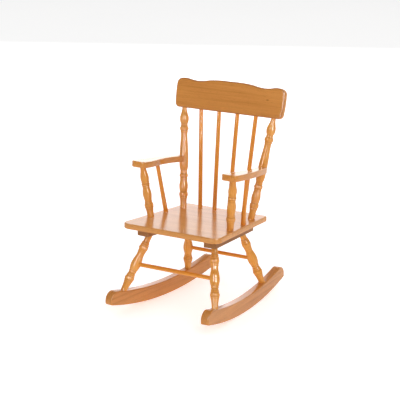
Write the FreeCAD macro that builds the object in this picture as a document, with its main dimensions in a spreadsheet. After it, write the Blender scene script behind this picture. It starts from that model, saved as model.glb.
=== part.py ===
import FreeCAD
import Part
import math
import os
import Sketcher

# A child's spindle-back rocking chair in solid wood.
# Row frame: +Z up, the sitter faces -Y, the chair mirrors across X = 0 and the floor is Z = 0.
# The chair is modelled in the attitude it takes when it stands still on a flat floor.

document = FreeCAD.newDocument("RockingChair")
sheet = document.addObject("Spreadsheet::Sheet", "Sizes")

SIZES = {
    # seat board
    "seat_front_width": 367, "seat_back_width": 312, "seat_depth": 361,
    "seat_front_radius": 28, "seat_back_radius": 9,
    "seat_thickness": 18, "seat_edge_round": 3.5,
    "seat_front_height": 296, "seat_front_y": -209, "seat_tilt": 2.2,
    # cleats under the seat
    "cleat_length": 276, "cleat_width": 44, "cleat_height": 29, "cleat_edge": 2,
    "cleat_centre_x": 116, "cleat_centre_y": -28, "cleat_toe_in": 4.6,
    # turned legs, measured between the rocker's top and the cleat
    "leg_turned_length": 198, "leg_radius": 15.8, "leg_tenon": 16,
    "leg_front_foot_x": 173.2, "leg_front_foot_y": -209, "leg_front_head_x": 123, "leg_front_head_y": -130,
    "leg_back_foot_x": 146, "leg_back_foot_y": 137.5, "leg_back_head_x": 102.5, "leg_back_head_y": 73,
    # stretchers
    "stretcher_radius": 6.8, "stretcher_back_radius": 6.2, "stretcher_tenon": 10,
    "stretcher_height_on_leg": 94,
    # rockers
    "rocker_length": 572, "rocker_radius": 1130, "rocker_height": 48.5, "rocker_width": 28,
    "rocker_nose_radius": 24, "rocker_tail_radius": 28, "rocker_heel_radius": 6,
    "rocker_edge_round": 3,
    "rocker_contact_y": 8.5, "rocker_centre_x": 158.5, "rocker_toe_in": 4.63,
    # back posts and back spindles
    "post_turned_length": 336, "post_radius": 14.8, "post_tenon": 15, "post_head_tenon": 24,
    "post_foot_x": 131.5, "post_foot_y": 87, "post_head_x": 171,
    "spindle_radius": 6.8, "spindle_tenon": 14, "spindle_head_tenon": 20,
    "spindle_spacing_top": 70, "spindle_spacing_foot": 56, "spindle_foot_y": 118,
    # crest rail
    "crest_length": 412, "crest_height": 103, "crest_thickness": 21, "crest_edge_round": 4.5,
    "crest_lean": 13, "crest_y": 158.5, "crest_z": 610.6,
    # arms, their front posts and spindles
    "arm_length": 246, "arm_thickness": 20, "arm_edge_round": 3, "arm_slope": 6.3,
    "arm_top_z": 468.8, "arm_front_y": -127, "arm_inner_x": 141.5, "arm_outer_x": 198.5,
    "arm_inner_radius": 16, "arm_outer_radius": 17, "arm_housing_radius": 15.6,
    "arm_waist_inset": 6, "arm_lap_outset": 2.5, "arm_outer_taper": 27.5, "arm_hollow": 10,
    "arm_post_turned_length": 170, "arm_post_radius": 14.6, "arm_post_tenon": 12,
    "arm_post_foot_x": 151, "arm_post_foot_y": -81, "arm_post_head_x": 170.5, "arm_post_head_y": -96,
    "arm_spindle_radius": 6.6, "arm_spindle_tenon": 11,
    "arm_spindle_foot_x": 148, "arm_spindle_foot_y": 5, "arm_spindle_head_x": 170.5, "arm_spindle_head_y": -10,
    # screws, pins and the fit of a round tenon in its hole
    "screw_radius": 2, "screw_head_radius": 4.2, "cleat_screw_length": 38,
    "rocker_screw_length": 50, "arm_screw_length": 42, "plug_radius": 5, "plug_length": 6,
    "plug_outset": 3, "plug_sink": 0.9, "brad_radius": 1.2, "brad_length": 16, "brad_height": 12,
    "hole_gap": 0.1, "hole_end_gap": 1,
}

for row, (alias, value) in enumerate(SIZES.items(), start=1):
    sheet.set(f"A{row}", alias)
    sheet.set(f"B{row}", str(value))
    sheet.setAlias(f"B{row}", alias)
document.recompute()


def size(alias):
    """Return the number that the spreadsheet holds for an alias."""
    return float(sheet.get(alias))


def part_of(alias, share=1.0):
    """Return a length as a share of a spreadsheet size: its value, and the expression that keeps it."""
    return size(alias) * share, f"Sizes.{alias} * {share:.6f}"


def fixed(value):
    """Return a plain length that no spreadsheet size drives."""
    return float(value), None


def bind(feature, **bindings):
    """Bind properties of a feature to spreadsheet expressions."""
    for name, expression in bindings.items():
        feature.setExpression(name, expression)


def origin_plane(body, role):
    """Return one of a body's own origin planes, found by its role."""
    for feature in body.Origin.OriginFeatures:
        if feature.Role == role:
            return feature
    raise ValueError(f"{body.Name} has no {role}")


def new_body(label):
    """Start an empty PartDesign body with a label."""
    body = document.addObject("PartDesign::Body", "Body_" + label)
    body.Label = label
    return body


def new_sketch(body, plane_role):
    """Attach a sketch to one of the body's own origin planes."""
    sketch = body.newObject("Sketcher::SketchObject", "Outline")
    sketch.AttachmentSupport = [(origin_plane(body, plane_role), "")]
    sketch.MapMode = "FlatFace"
    return sketch


def draw_outline(sketch, corners):
    """Draw a closed outline of lines and arcs, and constrain each corner from the sketch's origin.

    Each corner is (x, y, bulge): x and y come from part_of or fixed, and bulge is how far the stretch
    to the next corner stands out of its chord, to the left of the way it runs (0 for a straight one).
    """
    ends = []
    for number, (x, y, bulge) in enumerate(corners):
        after = corners[(number + 1) % len(corners)]
        start = FreeCAD.Vector(x[0], y[0], 0)
        stop = FreeCAD.Vector(after[0][0], after[1][0], 0)
        if bulge == 0:
            index = sketch.addGeometry(Part.LineSegment(start, stop), False)
            ends.append((index, 1, 2))
            continue
        chord = stop - start
        left = FreeCAD.Vector(-chord.y, chord.x, 0).normalize()
        middle = (start + stop) * 0.5 + left * bulge
        if bulge > 0:
            index = sketch.addGeometry(Part.Arc(stop, middle, start), False)
            ends.append((index, 2, 1))
        else:
            index = sketch.addGeometry(Part.Arc(start, middle, stop), False)
            ends.append((index, 1, 2))
        radius = (chord.Length ** 2 / 4 + bulge ** 2) / (2 * abs(bulge))
        sketch.addConstraint(Sketcher.Constraint("Radius", index, radius))
    for number, (x, y, _) in enumerate(corners):
        index, first, _ = ends[number]
        before, _, last = ends[number - 1]
        sketch.addConstraint(Sketcher.Constraint("Coincident", before, last, index, first))
        for kind, (value, expression) in (("DistanceX", x), ("DistanceY", y)):
            constraint = sketch.addConstraint(Sketcher.Constraint(kind, -1, 1, index, first, value))
            if expression:
                sketch.setExpression(f"Constraints[{constraint}]", expression)


def turned_body(label, profile, length_alias, radius_alias, foot_alias, head_alias):
    """Make a turned piece on the Z axis: a foot tenon, the turned profile and a head tenon.

    The profile is a list of (height, radius, bulge) from the foot's surface upwards, where height is a
    share of the turned length and radius a share of the piece's nominal radius.
    """
    body = new_body(label)
    sketch = new_sketch(body, "XZ_Plane")
    foot = size(foot_alias)
    corners = [(fixed(0), fixed(-foot), 0), (part_of(radius_alias, profile[0][1]), fixed(-foot), 0)]
    for height, radius, bulge in profile:
        corners.append((part_of(radius_alias, radius), part_of(length_alias, height), -bulge))
    top = size(length_alias) + size(head_alias)
    corners[-1] = (corners[-1][0], corners[-1][1], 0)
    corners.append((part_of(radius_alias, profile[-1][1]), fixed(top), 0))
    corners.append((fixed(0), fixed(top), 0))
    draw_outline(sketch, corners)
    turning = body.newObject("PartDesign::Revolution", "Turning")
    turning.Profile = sketch
    turning.ReferenceAxis = (sketch, ["V_Axis"])
    turning.Angle = 360
    sketch.Visibility = False
    return body


def along(foot, head):
    """Return the placement that puts a piece's origin on foot, with its Z axis towards head."""
    return FreeCAD.Placement(foot, FreeCAD.Rotation(FreeCAD.Vector(0, 0, 1), head - foot))


def rod(label, foot, head, radius_expression, foot_tenon, head_tenon):
    """Make a plain round rod from foot to head, with a tenon past each of them."""
    way = (head - foot).normalize()
    start = foot - way * foot_tenon
    cylinder = document.addObject("Part::Cylinder", "Rod_" + label)
    cylinder.Label = label
    bind(cylinder, Radius=radius_expression)
    cylinder.Height = (head - foot).Length + foot_tenon + head_tenon
    cylinder.Placement = along(start, head)
    return cylinder


def bore(at, away, radius, depth, lead=25):
    """Make a round hole's tool: depth below the point at, and lead (in mm) beyond it on the open side."""
    way = FreeCAD.Vector(away).normalize()
    cylinder = document.addObject("Part::Cylinder", "Bore")
    cylinder.Radius = radius + size("hole_gap")
    cylinder.Height = depth + lead
    cylinder.Placement = along(at - way * depth, at + way)
    return cylinder


def cut(label, base, tools):
    """Cut a list of tools from a base, and give the result its label."""
    group = document.addObject("Part::Compound", "Tools_" + label)
    group.Links = tools
    result = document.addObject("Part::Cut", "Cut_" + label)
    result.Base = base
    result.Tool = group
    base.Label = label + "_blank"
    result.Label = label
    return result


def round_edges(body, name, base, wanted, radius_expression):
    """Fillet the edges of a body's last feature that the function wanted picks out."""
    document.recompute()
    names = [f"Edge{number}" for number, edge in enumerate(base.Shape.Edges, start=1) if wanted(edge)]
    rounding = body.newObject("PartDesign::Fillet", name)
    rounding.Base = (base, names)
    bind(rounding, Radius=radius_expression)
    return rounding


def edge_through(**place):
    """Return a test for the edge all of whose ends share the given coordinates, such as X and Y."""
    def wanted(edge):
        return all(abs(getattr(end, axis) - value) < 0.01
                   for end in edge.Vertexes for axis, value in place.items())
    return wanted


def padded_body(label, plane_role, corners, thickness_alias, edge_alias, middle=False, rounded_corners=()):
    """Pad an outline to a thickness, round the named corners of the outline, then both rims.

    Each rounded corner is a pair: a test that picks the corner's edge, and the radius's expression.
    """
    body = new_body(label)
    sketch = new_sketch(body, plane_role)
    draw_outline(sketch, corners)
    last = body.newObject("PartDesign::Pad", "Board")
    last.Profile = sketch
    last.Midplane = middle
    bind(last, Length=f"Sizes.{thickness_alias}")
    for number, (wanted, radius_expression) in enumerate(rounded_corners, start=1):
        last = round_edges(body, f"Corner{number}", last, wanted, radius_expression)
    normal = sketch.Placement.Rotation.multVec(FreeCAD.Vector(0, 0, 1))

    def on_rim(edge):
        heights = [edge.valueAt(end).dot(normal) for end in edge.ParameterRange]
        return max(heights) - min(heights) < 1e-6

    round_edges(body, "Edges", last, on_rim, f"Sizes.{edge_alias}")
    sketch.Visibility = False
    return body


def mirrored_outline(half):
    """Close a half outline, given from the middle line on +X, with its mirror image on -X."""
    other = []
    for number in range(len(half) - 1, -1, -1):
        (x, x_rule), y, _ = half[number]
        bulge = half[number - 1][2] if number else 0
        other.append(((-x, f"-({x_rule})" if x_rule else None), y, bulge))
    return half[:-1] + [(half[-1][0], half[-1][1], 0)] + other


SIDES = {"left": -1, "right": 1}


def mirror(point, side):
    """Return a point of the right side as it lies on the named side."""
    return FreeCAD.Vector(point.x * SIDES[side], point.y, point.z)


# ---- where the pieces meet, on the right side ------------------------------------------------------

seat_slope = -math.tan(math.radians(size("seat_tilt")))
arm_fall = -math.tan(math.radians(size("arm_slope")))


def seat_top(x, y):
    """Return the point of the seat's top face above a plan position."""
    return FreeCAD.Vector(x, y, size("seat_front_height") + seat_slope * (y - size("seat_front_y")))


def cleat_bottom(x, y):
    """Return the point of a cleat's underside below a plan position."""
    drop = (size("seat_thickness") + size("cleat_height")) / math.cos(math.radians(size("seat_tilt")))
    return seat_top(x, y) - FreeCAD.Vector(0, 0, drop)


def arm_bottom(x, y):
    """Return the point of an arm's underside above a plan position."""
    thickness = size("arm_thickness") / math.cos(math.radians(size("arm_slope")))
    return FreeCAD.Vector(x, y, size("arm_top_z") + arm_fall * y - thickness)


def rocker_top(x, y):
    """Return the point of a rocker's top face above a plan position."""
    radius = size("rocker_radius")
    offset = y - size("rocker_contact_y")
    rise = radius - math.sqrt(radius ** 2 - offset ** 2)
    return FreeCAD.Vector(x, y, size("rocker_height") + rise)


crest_up = FreeCAD.Rotation(FreeCAD.Vector(1, 0, 0), -size("crest_lean")).multVec(FreeCAD.Vector(0, 0, 1))


def crest_bottom(x):
    """Return the point in the middle of the crest rail's bottom edge at a given X."""
    return FreeCAD.Vector(x, size("crest_y"), size("crest_z"))


def plan(name):
    """Return the X and Y that the spreadsheet holds for a named point."""
    return size(name + "_x"), size(name + "_y")


LEGS = {
    "front": (rocker_top(*plan("leg_front_foot")), cleat_bottom(*plan("leg_front_head"))),
    "back": (rocker_top(*plan("leg_back_foot")), cleat_bottom(*plan("leg_back_head"))),
}
POST = (seat_top(*plan("post_foot")), crest_bottom(size("post_head_x")))
ARM_POST = (seat_top(*plan("arm_post_foot")), arm_bottom(*plan("arm_post_head")))
ARM_SPINDLE = (seat_top(*plan("arm_spindle_foot")), arm_bottom(*plan("arm_spindle_head")))

# ---- turned profiles: (share of the length, share of the radius, bulge in mm) ----------------------

LEG_PROFILE = [
    (0.000, 0.660, 0.0), (0.061, 0.660, -0.8), (0.152, 0.820, 2.7), (0.253, 0.810, -1.3),
    (0.354, 0.780, 3.2), (0.576, 0.840, -1.6), (0.702, 0.810, 2.5), (0.808, 0.830, -0.8),
    (0.889, 0.620, -0.2), (0.949, 0.660, 0.0),
]
POST_PROFILE = [
    (0.000, 0.725, 0.0), (0.059, 0.725, -0.7), (0.098, 0.890, 1.7), (0.142, 0.880, -1.0),
    (0.177, 0.850, 2.2), (0.266, 0.830, -0.5), (0.302, 0.850, 2.0), (0.334, 0.840, -1.9),
    (0.388, 0.890, 1.9), (0.592, 0.900, -0.7), (0.719, 0.740, -0.4), (0.766, 0.810, 2.8),
    (0.808, 0.810, -1.3), (0.840, 0.820, 2.2), (0.905, 0.920, 0.5), (0.953, 0.660, -0.4),
    (0.988, 0.490, 0.0),
]
ARM_POST_PROFILE = [
    (0.000, 0.750, 0.0), (0.081, 0.750, -0.7), (0.180, 0.890, 2.0), (0.279, 0.860, -1.0),
    (0.384, 0.815, 2.1), (0.535, 0.815, -0.7), (0.605, 0.795, 1.3), (0.674, 0.860, 1.3),
    (0.831, 0.850, -0.5), (0.919, 0.660, -0.3), (0.965, 0.635, 0.0),
]


def leg_point(place, height):
    """Return the point of a right leg's axis at a height above its foot, along the leg."""
    foot, head = LEGS[place]
    return foot + (head - foot).normalize() * height


def tenon_hole(at, away, radius_alias, depth_alias, share=1.0):
    """Make the tool of a blind hole that takes a round tenon."""
    return bore(at, away, size(radius_alias) * share, size(depth_alias) + size("hole_end_gap"))


def screw(at, way, length):
    """Make a countersunk screw whose head's flat face is at a point and which runs the given way."""
    head = document.addObject("Part::Cone", "ScrewHead")
    bind(head, Radius1="Sizes.screw_head_radius", Radius2="Sizes.screw_radius",
         Height="Sizes.screw_head_radius - Sizes.screw_radius")
    shank = document.addObject("Part::Cylinder", "ScrewShank")
    bind(shank, Radius="Sizes.screw_radius")
    shank.Height = length
    whole = document.addObject("Part::Fuse", "Screw")
    whole.Base = head
    whole.Tool = shank
    whole.Placement = along(at, at + way)
    return whole


def group(label, members):
    """Gather separate solids of one kind into one labelled object."""
    compound = document.addObject("Part::Compound", "Group_" + label)
    compound.Label = label
    compound.Links = members
    return compound


UP = FreeCAD.Vector(0, 0, 1)
seat_rotation = FreeCAD.Rotation(FreeCAD.Vector(1, 0, 0), -size("seat_tilt"))
seat_up = seat_rotation.multVec(UP)
pieces = []

# ---- screws, plugs and pins ------------------------------------------------------------------------

cleat_turns = {side: seat_rotation * FreeCAD.Rotation(UP, SIDES[side] * size("cleat_toe_in")) for side in SIDES}
cleat_middles = {side: mirror(cleat_bottom(size("cleat_centre_x"), size("cleat_centre_y")), side) for side in SIDES}
CLEAT_SCREW_PLACES = [-0.455, -0.2, 0.2, 0.455]  # shares of the cleat's length from its middle
ROCKER_SCREW_SINK = 0.80  # share of a rocker screw's length below the middle of the leg's tenon
ARM_SCREW_PLACE = 0.49  # share of the back post's turned length from the seat
cleat_screws = {side: [] for side in SIDES}
rocker_screws = {}
arm_screws = {}
arm_plugs = {}
crest_brads = {}
arm_way = FreeCAD.Rotation(FreeCAD.Vector(1, 0, 0), -size("arm_slope")).multVec(FreeCAD.Vector(0, -1, 0))
post_axis = (POST[1] - POST[0]).normalize()
for side in SIDES:
    for share in CLEAT_SCREW_PLACES:
        place = cleat_turns[side].multVec(FreeCAD.Vector(0, share * size("cleat_length"), 0))
        cleat_screws[side].append(screw(cleat_middles[side] + place, seat_up, size("cleat_screw_length")))
    for place, (foot, head) in LEGS.items():
        tenon_end = foot - (head - foot).normalize() * size("leg_tenon") * 0.5
        start = FreeCAD.Vector(tenon_end.x, tenon_end.y, tenon_end.z - size("rocker_screw_length") * ROCKER_SCREW_SINK)
        rocker_screws[place, side] = screw(mirror(start, side), UP, size("rocker_screw_length"))
    behind_arm = POST[0] + post_axis * (ARM_SCREW_PLACE * size("post_turned_length"))
    behind_arm += FreeCAD.Vector(size("plug_outset"), 0, 0)
    plug_face = mirror(behind_arm, side) - arm_way * (size("post_radius") - size("plug_sink"))
    plug = document.addObject("Part::Cylinder", "Plug")
    bind(plug, Radius="Sizes.plug_radius", Height="Sizes.plug_length")
    plug.Placement = along(plug_face, plug_face + arm_way)
    arm_plugs[side] = plug
    arm_screws[side] = screw(plug_face + arm_way * size("plug_length"), arm_way, size("arm_screw_length"))
    brad = document.addObject("Part::Cylinder", "Brad")
    bind(brad, Radius="Sizes.brad_radius", Height="Sizes.brad_length")
    crest_front = FreeCAD.Vector(0, -crest_up.z, crest_up.y)
    brad_foot = mirror(POST[1], side) + crest_up * size("brad_height")
    brad_head = brad_foot - crest_front * (size("crest_thickness") / 2)
    brad.Placement = along(brad_head, brad_head + crest_front)
    crest_brads[side] = brad
pieces.append(group("cleat_screws", cleat_screws["left"] + cleat_screws["right"]))
pieces.append(group("rocker_screws", list(rocker_screws.values())))
pieces.append(group("arm_screws", list(arm_screws.values())))
pieces.append(group("arm_screw_plugs", list(arm_plugs.values())))
pieces.append(group("crest_brads", list(crest_brads.values())))

# ---- legs and stretchers ---------------------------------------------------------------------------

STRETCHER_RADII = {"front": "stretcher_radius", "back": "stretcher_back_radius"}
for place, (foot, head) in LEGS.items():
    axis_point = leg_point(place, size("stretcher_height_on_leg"))
    inset = size("leg_radius") - size("stretcher_tenon")
    pieces.append(rod(f"stretcher_{place}", mirror(axis_point, "left"), axis_point,
                      f"Sizes.{STRETCHER_RADII[place]}", -inset, -inset))
    for side in SIDES:
        blank = turned_body(f"leg_{place}_{side}", LEG_PROFILE, "leg_turned_length", "leg_radius",
                            "leg_tenon", "leg_tenon")
        blank.Placement = along(mirror(foot, side), mirror(head, side))
        inwards = FreeCAD.Vector(-SIDES[side], 0, 0)
        mouth = mirror(axis_point, side) + inwards * size("leg_radius")
        hole = tenon_hole(mouth, inwards, STRETCHER_RADII[place], "stretcher_tenon")
        pieces.append(cut(f"leg_{place}_{side}", blank, [hole, rocker_screws[place, side]]))

# ---- back posts, arm posts and the plain spindles --------------------------------------------------

SPINDLES = {}
for number, share in enumerate((-1.5, -0.5, 0.5, 1.5), start=1):
    foot = seat_top(share * size("spindle_spacing_foot"), size("spindle_foot_y"))
    head = crest_bottom(share * size("spindle_spacing_top"))
    SPINDLES[number] = (foot, head)
    pieces.append(rod(f"back_spindle_{number}", foot, head, "Sizes.spindle_radius",
                      size("spindle_tenon"), size("spindle_head_tenon")))
for side in SIDES:
    post = turned_body(f"back_post_{side}", POST_PROFILE, "post_turned_length", "post_radius",
                       "post_tenon", "post_head_tenon")
    post.Placement = along(mirror(POST[0], side), mirror(POST[1], side))
    pieces.append(cut(f"back_post_{side}", post, [arm_plugs[side], arm_screws[side], crest_brads[side]]))
    arm_post = turned_body(f"arm_post_{side}", ARM_POST_PROFILE, "arm_post_turned_length",
                           "arm_post_radius", "arm_post_tenon", "arm_post_tenon")
    arm_post.Placement = along(mirror(ARM_POST[0], side), mirror(ARM_POST[1], side))
    pieces.append(arm_post)
    pieces.append(rod(f"arm_spindle_{side}", mirror(ARM_SPINDLE[0], side), mirror(ARM_SPINDLE[1], side),
                      "Sizes.arm_spindle_radius", size("arm_spindle_tenon"), size("arm_spindle_tenon")))

# ---- seat board ------------------------------------------------------------------------------------

QUARTER_TURN = math.pi / 2
front = size("seat_front_radius")
back = size("seat_back_radius")
side_run = size("seat_depth") - back - front
side_turn = 2 * math.atan((size("seat_front_width") - size("seat_back_width")) / 2 / side_run)
back_corner_y = size("seat_depth") - back * (1 - math.sin(side_turn))
back_corner_x = size("seat_back_width") / 2 - back * math.cos(side_turn)
side_bulge = side_run / 2 * math.tan(side_turn / 4)
seat_half = [
    (fixed(0), fixed(0), 0),
    ((size("seat_front_width") / 2 - front, f"Sizes.seat_front_width / 2 - {front}"), fixed(0),
     -front * (1 - math.cos(QUARTER_TURN / 2))),
    (part_of("seat_front_width", 0.5), fixed(front), -side_bulge),
    (part_of("seat_back_width", 0.5), fixed(back_corner_y),
     -back * (1 - math.cos((QUARTER_TURN - side_turn) / 2))),
    (fixed(back_corner_x), part_of("seat_depth"), 0),
]
seat_blank = padded_body("seat", "XY_Plane", seat_half[1:] + mirrored_outline(seat_half)[5:-1],
                         "seat_thickness", "seat_edge_round")
seat_front = seat_top(0, size("seat_front_y"))
seat_blank.Placement = FreeCAD.Placement(seat_front - seat_up * size("seat_thickness"), seat_rotation)
seat_tools = []
for side in SIDES:
    for foot, head, radius, share, depth in (
            (*POST, "post_radius", POST_PROFILE[0][1], "post_tenon"),
            (*ARM_POST, "arm_post_radius", ARM_POST_PROFILE[0][1], "arm_post_tenon"),
            (*ARM_SPINDLE, "arm_spindle_radius", 1, "arm_spindle_tenon")):
        seat_tools.append(tenon_hole(mirror(foot, side), mirror(head - foot, side), radius, depth, share))
    seat_tools += cleat_screws[side]
for foot, head in SPINDLES.values():
    seat_tools.append(tenon_hole(foot, head - foot, "spindle_radius", "spindle_tenon"))
pieces.append(cut("seat", seat_blank, seat_tools))

# ---- cleats under the seat -------------------------------------------------------------------------

cleat_outline = [
    (part_of("cleat_width", -0.5), part_of("cleat_length", -0.5), 0),
    (part_of("cleat_width", 0.5), part_of("cleat_length", -0.5), 0),
    (part_of("cleat_width", 0.5), part_of("cleat_length", 0.5), 0),
    (part_of("cleat_width", -0.5), part_of("cleat_length", 0.5), 0),
]
for side in SIDES:
    blank = padded_body(f"cleat_{side}", "XY_Plane", cleat_outline, "cleat_height", "cleat_edge")
    blank.Placement = FreeCAD.Placement(cleat_middles[side], cleat_turns[side])
    tools = list(cleat_screws[side])
    for foot, head in LEGS.values():
        tools.append(tenon_hole(mirror(head, side), mirror(foot - head, side), "leg_radius", "leg_tenon",
                                LEG_PROFILE[-1][1]))
    pieces.append(cut(f"cleat_{side}", blank, tools))

# ---- rockers ---------------------------------------------------------------------------------------

rocker_end = size("rocker_length") / 2


def rocker_floor(y):
    """Return the height of the rocker's underside at a place along it."""
    radius = size("rocker_radius")
    return radius - math.sqrt(radius ** 2 - (y - size("rocker_contact_y")) ** 2)


def sagitta(radius, chord):
    """Return how far an arc of a radius stands out of its chord."""
    return radius - math.sqrt(radius ** 2 - chord ** 2 / 4)


rocker_rise = size("rocker_height")
nose_top = rocker_floor(-rocker_end) + rocker_rise
tail_top = rocker_floor(rocker_end) + rocker_rise
rocker_bulge = sagitta(size("rocker_radius"), size("rocker_length"))
rocker_outline = [
    (part_of("rocker_length", -0.5), fixed(nose_top - rocker_rise), -rocker_bulge),
    (part_of("rocker_length", 0.5), fixed(tail_top - rocker_rise), 0),
    (part_of("rocker_length", 0.5), fixed(tail_top), rocker_bulge),
    (part_of("rocker_length", -0.5), fixed(nose_top), 0),
]
rocker_corners = [
    (edge_through(Y=-rocker_end, Z=nose_top), "Sizes.rocker_nose_radius"),
    (edge_through(Y=rocker_end, Z=tail_top), "Sizes.rocker_tail_radius"),
    (edge_through(Y=-rocker_end, Z=nose_top - rocker_rise), "Sizes.rocker_heel_radius"),
    (edge_through(Y=rocker_end, Z=tail_top - rocker_rise), "Sizes.rocker_heel_radius"),
]
for side in SIDES:
    blank = padded_body(f"rocker_{side}", "YZ_Plane", rocker_outline, "rocker_width", "rocker_edge_round",
                        middle=True, rounded_corners=rocker_corners)
    blank.Placement = FreeCAD.Placement(
        FreeCAD.Vector(SIDES[side] * size("rocker_centre_x"), 0, 0),
        FreeCAD.Rotation(UP, SIDES[side] * size("rocker_toe_in")))
    tools = []
    for place, (foot, head) in LEGS.items():
        tools.append(tenon_hole(mirror(foot, side), mirror(head - foot, side), "leg_radius", "leg_tenon",
                                LEG_PROFILE[0][1]))
        tools.append(rocker_screws[place, side])
        mouth = FreeCAD.Vector(rocker_screws[place, side].Placement.Base)
        tools.append(bore(mouth, -UP, size("screw_head_radius"), 0))
    pieces.append(cut(f"rocker_{side}", blank, tools))

# ---- crest rail ------------------------------------------------------------------------------------

crest_half = [
    (fixed(0), part_of("crest_height"), 1.3),
    (part_of("crest_length", 0.170), part_of("crest_height", 0.983), 0.5),
    (part_of("crest_length", 0.226), part_of("crest_height", 0.948), -3.3),
    (part_of("crest_length", 0.383), part_of("crest_height", 0.944), 1.9),
    (part_of("crest_length", 0.461), part_of("crest_height", 0.953), 4.6),
    (part_of("crest_length", 0.500), part_of("crest_height", 0.770), 1.5),
    (part_of("crest_length", 0.495), part_of("crest_height", 0.150), 4.5),
    (part_of("crest_length", 0.460), fixed(0), 0),
    (fixed(0), fixed(0), 0),
]
crest_outline = mirrored_outline(crest_half)
crest_blank = padded_body("crest_rail", "XZ_Plane", crest_outline[:8] + crest_outline[9:-1],
                          "crest_thickness", "crest_edge_round", middle=True)
crest_blank.Placement = FreeCAD.Placement(
    crest_bottom(0), FreeCAD.Rotation(FreeCAD.Vector(1, 0, 0), -size("crest_lean")))
crest_tools = list(crest_brads.values())
for side in SIDES:
    crest_tools.append(tenon_hole(mirror(POST[1], side), mirror(POST[0] - POST[1], side), "post_radius",
                                  "post_head_tenon", POST_PROFILE[-1][1]))
for foot, head in SPINDLES.values():
    crest_tools.append(tenon_hole(head, foot - head, "spindle_radius", "spindle_head_tenon"))
pieces.append(cut("crest_rail", crest_blank, crest_tools))

# ---- arms ------------------------------------------------------------------------------------------

ARM_WAIST_PLACE = 0.342  # share of the arm's length where its inner edge turns from swell to hollow
ARM_FRONT_BULGE = -1.5
ARM_OUTER_BULGE = -8
inner = size("arm_inner_x")
outer = size("arm_outer_x")
turn_x = inner + size("arm_waist_inset")
turn_y = size("arm_length") * ARM_WAIST_PLACE
lap_x = inner - size("arm_lap_outset")
hollow = size("arm_hollow")
hollow_chord = math.hypot(turn_x - lap_x, size("arm_length") - turn_y)
swell_chord = math.hypot(turn_x - inner, turn_y)
kink = math.atan((turn_x - lap_x) / (size("arm_length") - turn_y)) + math.atan((turn_x - inner) / turn_y)
swell = swell_chord / 2 * math.tan(math.atan(2 * hollow / hollow_chord) - kink / 2)
arm_outline = [
    (part_of("arm_inner_x"), fixed(0), ARM_FRONT_BULGE),
    (part_of("arm_outer_x"), fixed(0), ARM_OUTER_BULGE),
    (fixed(outer - size("arm_outer_taper")), part_of("arm_length"), 0),
    (fixed(lap_x), part_of("arm_length"), hollow),
    (fixed(turn_x), fixed(turn_y), -swell),
]
arm_rotation = FreeCAD.Rotation(FreeCAD.Vector(1, 0, 0), -size("arm_slope"))
for side, sign in SIDES.items():
    outline = [((sign * x[0], f"{sign} * {x[1]}" if x[1] else None), y, sign * bulge)
               for x, y, bulge in arm_outline]
    corners = [
        (edge_through(X=sign * inner, Y=0), "Sizes.arm_inner_radius"),
        (edge_through(X=sign * outer, Y=0), "Sizes.arm_outer_radius"),
    ]
    blank = padded_body(f"arm_{side}", "XY_Plane", outline, "arm_thickness", "arm_edge_round",
                        rounded_corners=corners)
    blank.Placement = FreeCAD.Placement(arm_bottom(0, size("arm_front_y")), arm_rotation)
    housing = bore(mirror(POST[0], side), mirror(POST[0] - POST[1], side), size("arm_housing_radius"),
                   size("post_turned_length"))
    tools = [housing, arm_screws[side]]
    tools.append(tenon_hole(mirror(ARM_POST[1], side), mirror(ARM_POST[0] - ARM_POST[1], side),
                            "arm_post_radius", "arm_post_tenon", ARM_POST_PROFILE[-1][1]))
    tools.append(tenon_hole(mirror(ARM_SPINDLE[1], side), mirror(ARM_SPINDLE[0] - ARM_SPINDLE[1], side),
                            "arm_spindle_radius", "arm_spindle_tenon"))
    pieces.append(cut(f"arm_{side}", blank, tools))

# ---- build, check and write ------------------------------------------------------------------------

document.recompute()
faults = [item.Label for item in document.Objects if {"Invalid", "Error"} & set(item.State)]
for piece in pieces:
    if piece.Shape.isNull() or not piece.Shape.isValid():
        faults.append(piece.Label)
if faults:
    raise RuntimeError("these objects failed: " + ", ".join(faults))

os.makedirs("parts", exist_ok=True)
for piece in pieces:
    piece.Shape.exportStep(f"parts/{piece.Label}.step")
    print(f"{piece.Label}: {len(piece.Shape.Solids)} solid(s), {piece.Shape.Volume / 1000:.1f} cm3")
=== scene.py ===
"""A child's spindle-back rocking chair in honey-stained, lacquered wood.

Lengths in the classes are millimetres in the chair's frame: +Z up, the sitter faces -Y, and the
chair mirrors across X = 0. Meshes are written in metres.
"""
import logging
import math
from dataclasses import dataclass, field
from enum import Enum
from typing import Any, Optional, Sequence

import bpy
import numpy as np
from mathutils import Matrix


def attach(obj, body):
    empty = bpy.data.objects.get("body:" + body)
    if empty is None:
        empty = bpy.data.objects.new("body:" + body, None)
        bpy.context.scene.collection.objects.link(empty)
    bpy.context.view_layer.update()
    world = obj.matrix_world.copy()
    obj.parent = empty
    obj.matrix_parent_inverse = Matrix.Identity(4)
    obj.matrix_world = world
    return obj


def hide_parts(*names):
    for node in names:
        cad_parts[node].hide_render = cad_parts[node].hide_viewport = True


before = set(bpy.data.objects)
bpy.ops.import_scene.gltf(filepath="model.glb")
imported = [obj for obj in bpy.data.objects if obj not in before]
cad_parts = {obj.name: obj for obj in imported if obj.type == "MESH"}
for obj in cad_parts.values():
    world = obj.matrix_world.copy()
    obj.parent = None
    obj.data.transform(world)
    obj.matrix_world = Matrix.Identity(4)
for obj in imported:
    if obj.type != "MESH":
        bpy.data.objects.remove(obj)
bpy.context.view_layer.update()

log = logging.getLogger("rocking_chair")
Array = np.ndarray
MM = 0.001
EDGE_STEP = 1.5  # distance between an outline's points before they are spread evenly, in millimetres
CORNER_POINTS = 21  # points on the arc of an outline's corner
SMALLEST_CUT = 0.1  # what even a sharp corner takes from its edges, in millimetres
RIM_POINTS = 8  # points on a board's quarter-round rim
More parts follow.
